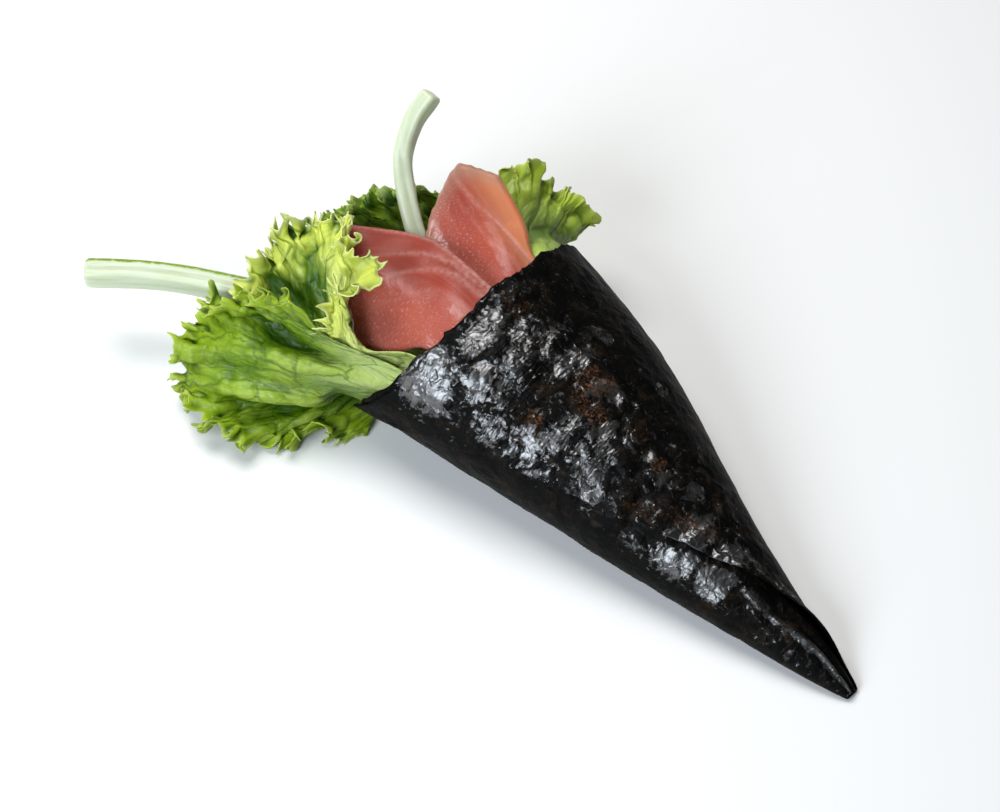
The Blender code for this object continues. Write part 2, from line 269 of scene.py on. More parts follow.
def noriMaterial():
    # roasted pressed laver: near black and dull, with shiny crumpled patches, rust brown specks
    # where it is thin
    material, tree, shader = startMaterial("roastedNori")
    position = addNode(tree, "TexCoord").outputs["Object"]
    sheet = addNode(tree, "Attribute", attribute_name="sheetMm").outputs["Vector"]
    gloss = addNode(tree, "Attribute", attribute_name="gloss").outputs["Fac"]
    streak = addNode(tree, "Attribute", attribute_name="streak").outputs["Fac"]
    rust = addNode(tree, "Attribute", attribute_name="rust").outputs["Fac"]
    warp = addNode(tree, "TexNoise", {"Vector": position, "Scale": 300.0, "Detail": 2.0})
    folded = addNode(tree, "VectorMath", {0: warp.outputs["Color"], 1: (0.003, 0.003, 0.003),
                                          2: position}, operation="MULTIPLY_ADD").outputs["Vector"]
    heights = [tiltedFacets(tree, folded, 0.0055, 0.1), tiltedFacets(tree, folded, 0.0022, 0.06)]
    # creases about 4 mm apart
    crease = addNode(tree, "TexNoise", {"Vector": folded, "Scale": 240.0, "Detail": 1.0})
    ridge = addNode(tree, "MapRange", {"Value": crease.outputs["Fac"], 1: 0.5, 2: 0.56,
                                       3: 0.0, 4: 0.00012}, interpolation_type="SMOOTHSTEP")
    heights.append(ridge.outputs[0])
    # wrinkles that run round the roll, 1.5 and 0.6 mm apart
    for spacing, length, height in ((1.5, 7.0, 0.0004), (0.6, 3.0, 0.00012)):
        stretched = addNode(tree, "Mapping", {"Vector": sheet,
                                              "Scale": (1.0 / length, 1.0 / spacing, 1.0)})
        wrinkles = addNode(tree, "TexNoise", {"Vector": stretched.outputs["Vector"],
                                              "Scale": 1.0, "Detail": 2.0, "Roughness": 0.5,
                                              "Distortion": 0.7})
        folds = addNode(tree, "Math", {0: wrinkles.outputs["Fac"], 1: streak},
                        operation="MULTIPLY")
        heights.append(addNode(tree, "Math", {0: folds.outputs[0], 1: height},
                               operation="MULTIPLY").outputs[0])
    # the pressed fibres, 0.3 mm
    fibres = addNode(tree, "TexNoise", {"Vector": position, "Scale": 2600.0, "Detail": 2.0,
                                        "Roughness": 0.6})
    heights.append(addNode(tree, "Math", {0: fibres.outputs["Fac"], 1: 0.00002},
                           operation="MULTIPLY").outputs[0])
    total = heights[0]
    for height in heights[1:]:
        total = addNode(tree, "Math", {0: total, 1: height}, operation="ADD").outputs[0]
    bumps = addNode(tree, "Bump", {"Height": total, "Distance": 1.0, "Strength": 1.0})
    # colour
    blotch = addNode(tree, "TexNoise", {"Vector": position, "Scale": 260.0, "Detail": 6.0,
                                        "Roughness": 0.78})
    blotches = addNode(tree, "Math", {0: rust, 1: 0.12, 2: blotch.outputs["Fac"]},
                       operation="MULTIPLY_ADD")
    black = addNode(tree, "ValToRGB", {"Fac": blotches.outputs[0]},
                    ramp=[(0.4, "020202"), (0.54, "080705"), (0.62, "1c140b"), (0.74, "2e1e0e")])
    speck = addNode(tree, "TexNoise", {"Vector": position, "Scale": 1700.0, "Detail": 3.0,
                                       "Roughness": 0.7})
    speckMask = addNode(tree, "ValToRGB", {"Fac": speck.outputs["Fac"]},
                        ramp=[(0.52, 0.0), (0.62, 1.0)])
    rustShare = addNode(tree, "Math", {0: speckMask.outputs["Color"], 1: rust},
                        operation="MULTIPLY")
    colour = addNode(tree, "Mix", {"Factor": rustShare.outputs[0], 6: black.outputs["Color"],
                                   7: hexColour("7c4a26")}, data_type="RGBA")
    tree.links.new(colour.outputs[2], shader.inputs["Base Color"])
    # shiny patches with ragged outlines and small glints between them
    patch = addNode(tree, "TexNoise", {"Vector": folded, "Scale": 300.0, "Detail": 4.0,
                                       "Roughness": 0.65})
    ragged = addNode(tree, "Math", {0: patch.outputs["Fac"], 1: 2.6, 2: gloss},
                     operation="MULTIPLY_ADD")
    shiny = addNode(tree, "MapRange", {"Value": ragged.outputs[0], 1: 1.72, 2: 2.3,
                                       3: 0.0, 4: 1.0}, interpolation_type="SMOOTHSTEP")
    # dark creases between the plates
    plate = addNode(tree, "TexNoise", {"Vector": position, "Scale": 150.0, "Detail": 3.0,
                                       "Roughness": 0.6, "Distortion": 0.8})
    fromCrease = addNode(tree, "Math", {0: plate.outputs["Fac"], 1: 0.5}, operation="SUBTRACT")
    away = addNode(tree, "Math", {0: fromCrease.outputs[0]}, operation="ABSOLUTE")
    whole = addNode(tree, "MapRange", {"Value": away.outputs[0], 1: 0.005, 2: 0.035,
                                       3: 0.1, 4: 1.0})
    shiny = addNode(tree, "Math", {0: shiny.outputs[0], 1: whole.outputs[0]},
                    operation="MULTIPLY")
    glint = addNode(tree, "TexNoise", {"Vector": folded, "Scale": 700.0, "Detail": 3.0,
                                       "Roughness": 0.6})
    scattered = addNode(tree, "Math", {0: gloss, 1: 0.3, 2: glint.outputs["Fac"]},
                        operation="MULTIPLY_ADD")
    glints = addNode(tree, "MapRange", {"Value": scattered.outputs[0], 1: 0.66, 2: 0.74,
                                        3: 0.01, 4: 0.8})
    coat = addNode(tree, "Math", {0: shiny.outputs[0], 1: glints.outputs[0]},
                   operation="MAXIMUM")
    tree.links.new(coat.outputs[0], shader.inputs["Coat Weight"])
    tree.links.new(bumps.outputs["Normal"], shader.inputs["Normal"])
    tree.links.new(bumps.outputs["Normal"], shader.inputs["Coat Normal"])
    setSockets(shader, {"Specular IOR Level": 0.06, "Roughness": 0.55, "Coat Roughness": 0.32,
                        "Coat IOR": 2.3})
    return material


def lettuceMaterial(name, look):
    # fresh leaf: waxy and slightly translucent, paler and yellower towards the frilled margin
    material, tree, shader = startMaterial(name)
    position = addNode(tree, "TexCoord").outputs["Object"]
    leafMap = addNode(tree, "Attribute", attribute_name="leafMm").outputs["Vector"]
    frill = addNode(tree, "Attribute", attribute_name="frill").outputs["Fac"]
    # painted shade: darker green where the leaf lies back in folds and hollows
    paintedShade = addNode(tree, "Attribute", attribute_name="paintedShade").outputs["Fac"]
    # painted highlight: lighter green where the leaf stands out from its surroundings
    paintedHighlight = addNode(tree, "Attribute", attribute_name="paintedHighlight").outputs["Fac"]
    # a net of veins 8 by 16 mm with a finer net inside it
    warp = addNode(tree, "TexNoise", {"Vector": leafMap, "Scale": 0.12, "Detail": 3.0})
    bent = addNode(tree, "VectorMath", {0: warp.outputs["Color"], 1: (7.0, 9.0, 0.0), 2: leafMap},
                   operation="MULTIPLY_ADD").outputs["Vector"]
    stretched = addNode(tree, "Mapping", {"Vector": bent, "Scale": (0.13, 0.055, 1.0)})
    veins = addNode(tree, "TexVoronoi", {"Vector": stretched.outputs["Vector"], "Scale": 1.0},
                    feature="DISTANCE_TO_EDGE").outputs["Distance"]
    fine = addNode(tree, "Mapping", {"Vector": bent, "Scale": (0.42, 0.3, 1.0)})
    veinlets = addNode(tree, "TexVoronoi", {"Vector": fine.outputs["Vector"], "Scale": 1.0},
                       feature="DISTANCE_TO_EDGE").outputs["Distance"]
    tone = addNode(tree, "TexNoise", {"Vector": position, "Scale": 120.0, "Detail": 5.0,
                                      "Roughness": 0.6})
    blade = addNode(tree, "ValToRGB", {"Fac": tone.outputs["Fac"]},
                    ramp=[(0.32, look["deep"]), (0.5, look["blade"]), (0.7, look["light"])])
    # paler near the root, which is the leaf's own colour, and on the middle leaf's far side, where it is
    # painted light
    pale = addNode(tree, "Attribute", attribute_name="pale").outputs["Fac"]
    colour = blade.outputs["Color"]
    veinLine = addNode(tree, "MapRange", {"Value": veins, 1: 0.0, 2: 0.035, 3: 0.75, 4: 0.0})
    fineLine = addNode(tree, "MapRange", {"Value": veinlets, 1: 0.0, 2: 0.08, 3: 0.2, 4: 0.0})
    margin = addNode(tree, "MapRange", {"Value": frill, 1: 0.93, 2: 1.0, 3: 0.0, 4: 0.55})
    for share, over in ((pale, look["pale"]), (paintedHighlight, look["paintedHighlight"]), (frill, look["frill"]),
                        (veinLine.outputs[0], look["vein"]), (fineLine.outputs[0], look["vein"]),
                        (paintedShade, look["paintedShade"]), (margin.outputs[0], look["rim"])):
        mixed = addNode(tree, "Mix", {"Factor": share, 6: colour, 7: hexColour(over)},
                        data_type="RGBA")
        colour = mixed.outputs[2]
    tree.links.new(colour, shader.inputs["Base Color"])
    blister = addNode(tree, "MapRange", {"Value": veins, 1: 0.0, 2: 0.3, 3: 0.0, 4: 1.0},
                      interpolation_type="SMOOTHSTEP")
    small = addNode(tree, "MapRange", {"Value": veinlets, 1: 0.0, 2: 0.3, 3: 0.0, 4: 1.0},
                    interpolation_type="SMOOTHSTEP")
    grain = addNode(tree, "TexNoise", {"Vector": position, "Scale": 2200.0, "Detail": 3.0})
    bumps = addNode(tree, "Bump", {"Height": blister.outputs[0], "Distance": 0.0006,
                                   "Strength": 0.7})
    for height, distance, strength in ((small.outputs[0], 0.0002, 0.6),
                                       (grain.outputs["Fac"], 0.00008, 0.5)):
        bumps = addNode(tree, "Bump", {"Height": height, "Distance": distance,
                                       "Strength": strength, "Normal": bumps.outputs["Normal"]})
    tree.links.new(bumps.outputs["Normal"], shader.inputs["Normal"])
    rough = addNode(tree, "MapRange", {"Value": tone.outputs["Fac"], 1: 0.3, 2: 0.7, 3: 0.46,
                                       4: 0.3})
    tree.links.new(rough.outputs[0], shader.inputs["Roughness"])
    setSockets(shader, {"Specular IOR Level": 0.3, "Subsurface Weight": 0.35, "Subsurface Scale": 0.0005,
                        "Subsurface Radius": (0.7, 1.0, 0.2)})
    return material


def tunaMaterial():
    # raw tuna loin: translucent red muscle with pale sinews and a wet cut face
    material, tree, shader = startMaterial("rawTuna")
    position = addNode(tree, "TexCoord").outputs["Object"]
    cut = addNode(tree, "Attribute", attribute_name="cutMm").outputs["Vector"]
    share = {name: addNode(tree, "Attribute", attribute_name=name).outputs["Fac"]
             for name in ("pale", "deep", "tip", "sinew", "wet")}
    tone = addNode(tree, "TexNoise", {"Vector": position, "Scale": 90.0, "Detail": 4.0})
    flesh = addNode(tree, "ValToRGB", {"Fac": tone.outputs["Fac"]},
                    ramp=[(0.3, "872d1a"), (0.5, "953522"), (0.7, "a3412b")])
    # the fibres fan along the slice, very faint
    fan = addNode(tree, "Mapping", {"Vector": cut, "Scale": (0.7, 0.045, 1.0)})
    grain = addNode(tree, "TexNoise", {"Vector": fan.outputs["Vector"], "Scale": 1.0,
                                       "Detail": 3.0, "Distortion": 0.2})
    faint = addNode(tree, "MapRange", {"Value": grain.outputs["Fac"], 1: 0.5, 2: 0.75, 3: 0.0,
                                       4: 0.35})
    torn = addNode(tree, "TexNoise", {"Vector": position, "Scale": 900.0, "Detail": 3.0})
    broken = addNode(tree, "MapRange", {"Value": torn.outputs["Fac"], 1: 0.3, 2: 0.6, 3: 0.3,
                                        4: 1.0})
    lines = addNode(tree, "Math", {0: share["sinew"], 1: broken.outputs[0]},
                    operation="MULTIPLY")
    colour = flesh.outputs["Color"]
    # short wet ridges of muscle, 0.3 by 1.1 mm, aslant, with painted glints on their tops, where the wet
    # part of the face has a painted lighter sheen
    aslant = addNode(tree, "Mapping", {"Vector": cut, "Scale": (0.28, 1.1, 1.0),
                                       "Rotation": (0.0, 0.0, 0.8)}, vector_type="TEXTURE")
    ridges = addNode(tree, "TexNoise", {"Vector": aslant.outputs["Vector"], "Scale": 1.0,
                                        "Detail": 2.0, "Roughness": 0.5})
    proud = addNode(tree, "MapRange", {"Value": ridges.outputs["Fac"], 1: 0.57, 2: 0.77,
                                       3: 0.0, 4: 0.5})
    height = addNode(tree, "Math", {0: proud.outputs[0], 1: share["wet"]},
                     operation="MULTIPLY")
    # painted sheen: where the cut face is wet its colour is mixed towards a lighter pink
    paintedSheen = addNode(tree, "Math", {0: share["wet"], 1: 0.35}, operation="MULTIPLY")
    # painted glints: the tops of the ridges are mixed towards a pale pink
    paintedGlints = addNode(tree, "Math", {0: height.outputs[0], 1: 1.3}, operation="MULTIPLY",
                      use_clamp=True)
    for amount, over in ((share["pale"], "cc8058"), (share["deep"], "7c2818"),
                         (share["tip"], "a08a74"), (faint.outputs[0], "b06456"),
                         (lines.outputs[0], "cc948a"), (paintedSheen.outputs[0], "c4786c"),
                         (paintedGlints.outputs[0], "e0b4aa")):
        mixed = addNode(tree, "Mix", {"Factor": amount, 6: colour, 7: hexColour(over)},
                        data_type="RGBA")
        colour = mixed.outputs[2]
    tree.links.new(colour, shader.inputs["Base Color"])
    skin = addNode(tree, "TexNoise", {"Vector": position, "Scale": 1800.0, "Detail": 3.0})
    surface = addNode(tree, "Bump", {"Height": skin.outputs["Fac"], "Distance": 0.0001,
                                     "Strength": 0.6})
    for distance, socket in ((0.0002, "Normal"), (0.0007, "Coat Normal")):
        bumps = addNode(tree, "Bump", {"Height": height.outputs[0], "Distance": distance,
                                       "Normal": surface.outputs["Normal"]})
        tree.links.new(bumps.outputs["Normal"], shader.inputs[socket])
    tree.links.new(share["wet"], shader.inputs["Coat Weight"])
    setSockets(shader, {"Roughness": 0.5, "Specular IOR Level": 0.15, "Subsurface Weight": 0.6,
                        "Subsurface Scale": 0.0016, "Subsurface Radius": (1.0, 0.35, 0.25),
                        "Coat Roughness": 0.1})
    return material


def cucumberMaterial():
    # cut cucumber flesh: pale, wet and translucent, with scraps of green skin on one edge
    material, tree, shader = startMaterial("cucumberFlesh")
    position = addNode(tree, "TexCoord").outputs["Object"]
    stick = addNode(tree, "Attribute", attribute_name="stickMm").outputs["Vector"]
    skin = addNode(tree, "Attribute", attribute_name="skin").outputs["Fac"]
    stretched = addNode(tree, "Mapping", {"Vector": stick, "Scale": (0.8, 0.06, 1.0)})
    streaks = addNode(tree, "TexNoise", {"Vector": stretched.outputs["Vector"], "Scale": 1.0,
                                         "Detail": 3.0})
    flesh = addNode(tree, "ValToRGB", {"Fac": streaks.outputs["Fac"]},
                    ramp=[(0.3, "bec8a6"), (0.5, "cad3b7"), (0.7, "d2dac4")])
    patchy = addNode(tree, "TexNoise", {"Vector": position, "Scale": 600.0, "Detail": 4.0,
                                        "Roughness": 0.6})
    skinEdge = addNode(tree, "Math", {0: skin, 1: patchy.outputs["Fac"]}, operation="MULTIPLY")
    skinMask = addNode(tree, "ValToRGB", {"Fac": skinEdge.outputs[0]},
                       ramp=[(0.2, 0.0), (0.32, 0.5), (0.4, 1.0)])
    colour = addNode(tree, "Mix", {"Factor": skinMask.outputs["Color"],
                                   6: flesh.outputs["Color"], 7: hexColour("7f9e24")},
                     data_type="RGBA")
    tree.links.new(colour.outputs[2], shader.inputs["Base Color"])
    grain = addNode(tree, "TexNoise", {"Vector": position, "Scale": 900.0, "Detail": 3.0})
    bumps = addNode(tree, "Bump", {"Height": streaks.outputs["Fac"], "Distance": 0.0002,
                                   "Strength": 0.4})
    bumps = addNode(tree, "Bump", {"Height": grain.outputs["Fac"], "Distance": 0.00012,
                                   "Strength": 0.5, "Normal": bumps.outputs["Normal"]})
    tree.links.new(bumps.outputs["Normal"], shader.inputs["Normal"])
    setSockets(shader, {"Roughness": 0.32, "IOR": 1.36, "Subsurface Weight": 0.7,
                        "Subsurface Scale": 0.002, "Subsurface Radius": (0.9, 1.0, 0.6)})
    return material


# ---- nori ----

def platesAt(points, size, slope, seed):
    # height of crumpled plates, each tilted its own way and sunk along its edges
    heights = []
    for point in np.asarray(points, float).reshape(-1, 3):
        inCells = Vector(point / size + seed)
        near, centres = noise.voronoi(inCells)
        tilt = 2.0 * noise.cell_vector(centres[0] * 19.0 + Vector((0.5, 0.5, 0.5))) - Vector((1, 1, 1))
        edge = smoothStep(near[1] - near[0], 0.0, 0.35)
        heights.append(edge * (inCells - centres[0]).dot(tilt) * size * slope
                       - 0.03 * (1.0 - edge) * size)
    return np.array(heights).reshape(np.shape(points)[:-1])


# places along the sheet in mm and round it in degrees, with half widths both ways in mm, and
# how strong they are
shinySpots = ((9.5, 148, 7, 11, 1.15), (19, 126, 3.5, 5, 0.85), (12.5, 107, 4, 7, 0.75),
              (18, 93, 3, 5, 0.55), (22, 103, 4, 12, 0.6), (24, 128, 4, 10, 0.5),
              (29.5, 86, 3, 5, 0.85), (37, 87, 1.5, 3, 0.85), (40, 80, 2.5, 2, 0.95),
              (28.5, 62, 3, 2, 0.7), (27, 143, 3, 5, 0.7), (34, 138, 5, 5, 0.62),
              (38.5, 121, 3, 6, 0.75), (45, 112, 3, 7, 0.68), (48.5, 125, 3, 7, 0.75),
              (51.5, 144, 2, 4, 1.05), (59.7, 94, 2, 2, 0.7), (66, 80, 2.5, 2, 0.75),
              (54.5, 90, 2, 1.5, 0.7), (49.5, 93, 2, 1.5, 0.7), (72, 135, 5, 10, 0.85),
              (81, 117, 4, 7, 1.05), (92, 111, 7, 1.2, 0.75), (101, 100, 5, 1.2, 0.85),
              (109, 93, 7, 1.0, 1.0), (20, 165, 2, 2, 0.6), (29, 166, 2, 2, 0.7),
              (39, 155, 2, 3, 0.65), (62, 160, 3, 3, 0.5), (45, 50, 3, 2, 0.5))
streakSpots = ((22, 103, 5, 16, 1.0), (26, 132, 6, 14, 1.0), (30, 86, 5, 8, 0.7),
               (44, 118, 6, 12, 0.9), (36, 138, 6, 8, 0.8), (76, 125, 11, 12, 0.55),
               (9.5, 148, 9, 12, 0.35), (12, 107, 5, 8, 0.5))
rustSpots = ((35, 90, 3, 4, 1.0), (40, 97, 4, 2, 1.0), (38, 80, 2, 2, 0.9),
             (32, 122, 2.5, 1.7, 1.0), (57.5, 89, 2, 1.5, 0.8), (74, 95, 2, 1.5, 0.9),
             (69, 105, 4, 1.5, 0.6), (64, 111, 3, 1.2, 0.5), (61, 122, 3, 1, 0.4),
             (50, 84, 3, 2, 0.4), (13, 88, 4, 2, 0.5))


def spotsAt(spots, x, angle):
    # the strongest of the spots at each point of the sheet, 1 in the middle of a full one
    total = np.zeros(np.broadcast(x, angle).shape)
    for spotX, spotAngle, length, width, strength in spots:
        radius = 1.5 + 25.0 * (1.0 - x / cone["length"])
        across = np.radians((angle - spotAngle + 180.0) % 360.0 - 180.0) * radius / width
        spread = ((x - spotX) / length) ** 2 + across ** 2
        total = np.maximum(total, strength * smoothStep(spread, 1.5, 0.3))
    return total


def makeNori():
    x, wrap, share, looseEdge, depth = noriSurface()
    angle = wrap % 360.0
    base = onCone(x, angle, 0.0)
    fade = smoothStep(x, cone["length"], cone["length"] - 45.0)     # less towards the tip
    facing = smoothStep(angle, 25.0, 80.0) * (1.0 - smoothStep(angle, 150.0, 180.0))
    warped = base + 2.6 * np.stack([noiseAt(base, 6.0, seed) for seed in (1.3, 5.9, 9.2)], -1)
    plates = platesAt(warped, 11.0, 0.13, 2.4) + 0.6 * platesAt(warped, 4.5, 0.16, 8.1)
    crumple = 0.4 * (np.abs(noiseAt(warped, 2.6, 5.2)) - 0.25)
    wave = 0.35 * noiseAt(base, 16.0, 3.1)
    depth = depth + (0.25 + 0.75 * fade) * (wave + (0.2 + 0.8 * facing) * (plates + crumple))
    # the pleat that runs to the tip on the first turn
    pleat = np.interp(x, (84, 92, 96, 100, 105, 109, 115), (110, 112, 110, 102, 94, 93, 98))
    raised = smoothStep(x, 84.0, 90.0) * (1.0 - 0.5 * smoothStep(x, 108.0, 115.0))
    besides = (wrap - pleat) / 6.0
    depth = depth + raised * (0.8 * np.exp(-besides ** 2)
                              - 0.7 * np.exp(-((besides + 4.0) / 2.5) ** 2))
    # the loose edge stands a little off the turn below it
    nearEdge = smoothStep(wrap, looseEdge - 9.0, looseEdge)
    depth = depth + nearEdge * fade * (0.4 + 0.5 * noiseAt(line(x, 3.0), 12.0))
    # torn edges
    nearRim = (1.0 - share) ** 30
    rimLine = line(wrap * 0.5, 4.0)
    x = x + nearRim * (0.9 * noiseAt(rimLine, 4.0) + 0.5 * noiseAt(rimLine, 1.3, 6.0))
    wrap = wrap + nearEdge * (2.4 * noiseAt(line(x, 8.0), 5.0) + noiseAt(line(x), 1.7)) * fade
    grid = onCone(x, wrap, depth + 0.3)
    # the first turn shows below the loose edge and is duller by the mouth
    under = smoothStep(x, 62.0, 52.0) * (wrap < 330.0)
    gloss = spotsAt(shinySpots, x, angle) * (1.0 - 0.6 * smoothStep(angle, 148.0, 166.0))
    gloss = np.maximum(gloss, 0.22 * facing * (1.0 - under))
    hollow = (wrap < 330.0) * smoothStep(x, 80.0, 86.0) * smoothStep(wrap, pleat - 8.0, pleat - 16.0)
    # a dark line in the shade of the loose edge
    shade = (wrap < 330.0) * np.exp(-((wrap - looseEdge + 358.0) / 5.0) ** 2) * smoothStep(x, 45.0, 58.0)
    gloss = gloss - 0.25 * (1.0 - facing) - 0.3 * under - 0.8 * hollow - shade
    rust = spotsAt(rustSpots, x, angle) * (0.45 + 0.9 * noiseAt(base, 2.5, 5.5))
    fields = {"sheetMm": np.stack([wrap * 0.42, x, depth], -1), "gloss": gloss,
              "streak": spotsAt(streakSpots, x, angle), "rust": np.clip(rust, 0.0, 1.0)}
    piece = newPiece("nori", grid, nori["thickness"], noriMaterial(), fields)
    sitOn(piece, "nori_sheet")


# ---- lettuce ----

frontLeaf = {
    "ribs": (
        (243, wallDepth, -7, ((-8, -25, 3.6), (-8.4, -30.6, 2.6))),
        (232, wallDepth, -10, ((-12, -31, 4.4), (-15.5, -38.8, 3))),
        (222, wallDepth, -12.5, ((-15, -36, 6), (-20, -50.5, 4))),
        (208, wallDepth, -12, ((-15, -33, 8), (-23, -39, 7.5), (-36.8, -54.5, 7))),
        (198, wallDepth, -9, ((-14, -37.5, 14), (-25, -46.5, 14.5), (-42.5, -52.5, 10))),
        (186, wallDepth, -6, ((-21, -39.5, 17), (-44.5, -49, 15))),
        (172, wallDepth, -3, ((-21, -39, 24), (-44.8, -43, 21))),
        (163, wallDepth, 0, ((-20, -32, 23), (-43.5, -37, 24.5))),
        (156, wallDepth, 1, ((-16, -31, 30), (-34, -34, 31.5))),
        (150, wallDepth, 2, ((-12, -29.5, 31), (-24, -31.5, 34.5))),
    ),
    "columns": 640, "rows": 74, "thickness": 0.24, "seed": 1.0,
    "stages": (
        {"rows": 36, "columns": 72, "waves": 8, "height": 3.0, "growth": 1.0, "depth": 12,
         "stiffness": 0.25, "rounds": 140},
        {"rows": 52, "columns": 170, "waves": 19, "height": 2.2, "growth": 2.6, "depth": 7.5,
         "stiffness": 0.25, "rounds": 140},
        {"rows": 76, "columns": 400, "waves": 44, "height": 1.2, "growth": 4.2, "depth": 4,
         "stiffness": 0.2, "rounds": 140},
    ),
    "teeth": ((52, 1.8), (120, 0.8)),
    "paintedLightSide": (2.0, 3.0),
    # valleys along the blade: how far across, half width in mm and depth in mm
    "folds": ((0.77, 3.2, 1.7), (0.3, 3.0, 1.2)),
    "look": {"deep": "4c6c04", "blade": "678810", "light": "88a42c", "vein": "44640c",
             "frill": "90aa1c", "paintedShade": "335804", "rim": "c6d65c", "paintedHighlight": "9cb442",
             "pale": "b4c576"},
}
middleLeaf = {
    "ribs": (
        (194, secondLeaf, -2, ((-22, -31, 20), (-41, -34.5, 25.5))),
        (182, secondLeaf, -2, ((-20, -28, 25), (-41.5, -23, 27))),
        (172, secondLeaf, 0, ((-16, -27.5, 27), (-30, -17, 33), (-37.5, -15.5, 36))),
        (163, secondLeaf, 1, ((-12, -27, 30), (-23, -18, 38), (-26.5, -14.5, 43))),
        (154, secondLeaf, 2, ((-8.5, -27, 31), (-14.5, -22.5, 40), (-15, -19.5, 45.5))),
        (146, secondLeaf, 3, ((-6.5, -26.5, 31), (-11.5, -25.5, 38), (-14, -26, 42))),
        (139, wallDepth, 4, ((-5, -25.8, 31), (-10.5, -27, 34), (-16.5, -29.5, 35))),
    ),
    "columns": 600, "rows": 74, "thickness": 0.24, "seed": 2.0,
    "stages": (
        {"rows": 36, "columns": 64, "waves": 6, "height": 3.0, "growth": 1.0, "depth": 12,
         "stiffness": 0.25, "rounds": 140},
        {"rows": 52, "columns": 150, "waves": 15, "height": 2.2, "growth": 2.6, "depth": 7.5,
         "stiffness": 0.25, "rounds": 140},
        {"rows": 76, "columns": 360, "waves": 36, "height": 1.2, "growth": 4.2, "depth": 4,
         "stiffness": 0.2, "rounds": 140},
    ),
    "teeth": ((44, 2.2), (100, 0.9)),
    # this leaf's far side is painted lighter as painted light, its near side left darker as painted
    # shade
    "paintedLightSide": (0.34, 0.62), "folds": ((0.18, 3.4, 2.4), (0.38, 2.2, 1.2)),
    "look": {"deep": "426608", "blade": "5c7f16", "light": "7d9c34", "vein": "4c6c10",
             "frill": "ced858", "paintedShade": "385e0a", "rim": "e8eeac", "paintedHighlight": "d0dc7a",
             "pale": "ccd880"},
}
backLeaf = {
    "ribs": (
        (66, wallDepth - 5.4, 4, ((-5, 13, 28), (-15, 17, 33))),
        (53, wallDepth, 4, ((-4, 20, 30.5), (-18, 26, 35.5))),
        (41, wallDepth, 4, ((-4, 25, 29.5), (-12.6, 34.2, 34.5))),
        (28, wallDepth, 4, ((-3, 28.5, 25.5), (-5.5, 36, 29.5))),
        (14, wallDepth, 3, ((-4, 30.5, 19), (-1.5, 37, 23))),
        (-4, wallDepth, 2, ((-6, 30, 12), (-9, 35, 14))),
    ),
    "columns": 400, "rows": 80, "thickness": 0.3, "seed": 3.0,
    "stages": (
        {"rows": 30, "columns": 64, "waves": 4, "height": 3.0, "growth": 1.0, "depth": 14,
         "stiffness": 0.25, "rounds": 140},
        {"rows": 46, "columns": 150, "waves": 10, "height": 2.2, "growth": 2.4, "depth": 8,
         "stiffness": 0.25, "rounds": 140},
        {"rows": 70, "columns": 360, "waves": 24, "height": 1.0, "growth": 3.4, "depth": 4,
         "stiffness": 0.25, "rounds": 140},
    ),
    "teeth": ((22, 1.0), (64, 0.4)),
    "paintedLightSide": (2.0, 3.0), "folds": ((0.45, 2.5, 1.2), (0.75, 2.5, 1.4)),
    "look": {"deep": "5c8018", "blade": "7e9e34", "light": "9eb854", "vein": "5c7c1c",
             "frill": "a4b834", "paintedShade": "365a08", "rim": "ced87c", "paintedHighlight": "aac25a",
             "pale": "a5b970"},
}
innerLeaf = {
    "ribs": (
        (28, secondLeaf, 4, ((-8, 18, 26), (-22, 19, 33))),
        (8, secondLeaf, 2, ((-12, 19, 18), (-34.3, 10.5, 28.5))),
        (-16, secondLeaf, 0, ((-14, 15, 10), (-44.5, -1, 21))),
        (-40, secondLeaf, 0, ((-12, 9, 4.5), (-36, -4, 12))),
    ),
    "columns": 360, "rows": 80, "thickness": 0.35, "seed": 4.0,
    "stages": (
        {"rows": 30, "columns": 64, "waves": 5, "height": 1.8, "growth": 0.8, "depth": 18,
         "stiffness": 0.25, "rounds": 140},
        {"rows": 46, "columns": 150, "waves": 13, "height": 1.2, "growth": 2.2, "depth": 12,
         "stiffness": 0.25, "rounds": 140},
        {"rows": 70, "columns": 360, "waves": 36, "height": 0.6, "growth": 4.2, "depth": 6,
         "stiffness": 0.2, "rounds": 140},
    ),
    "teeth": ((34, 1.1), (90, 0.4)),
    "paintedLightSide": (2.0, 3.0), "folds": ((0.3, 3.0, 1.4),),
    "look": {"deep": "4c7008", "blade": "688a0e", "light": "86a628", "vein": "42620a",
             "frill": "90b030", "paintedShade": "2e5004", "rim": "b8cc6a", "paintedHighlight": "8cac36",
             "pale": "a5b970"},
}


def leafGrid(leaf, rows, columns):
    lines = []
    for angle, depth, rim, outside in leaf["ribs"]:
        root = [onCone(x, angle, depth) for x in (30.0, 0.5 * (30.0 + rim), rim)]
        lines.append(np.vstack([root, outside]))
    rowShares = 1.0 - (1.0 - np.linspace(0.0, 1.0, rows)) ** 1.1
    return ribsToGrid(lines, rowShares, np.linspace(0.0, 1.0, columns))


def gridDistances(grid):
    # how far each point is along its rib from the root, and from the margin
    steps = np.linalg.norm(np.diff(grid, axis=0), axis=2)
    travelled = np.vstack([np.zeros((1, grid.shape[1])), np.cumsum(steps, axis=0)])
    return travelled, travelled[-1:] - travelled


def pullTogether(first, second, rest):
    # moves two rows of points along the line between them towards their rest distance
    apart = second - first
    length = np.maximum(np.linalg.norm(apart, axis=-1, keepdims=True), 1e-6)
    move = 0.5 * apart * (1.0 - rest[..., None] / length)
    return first + move, second - move


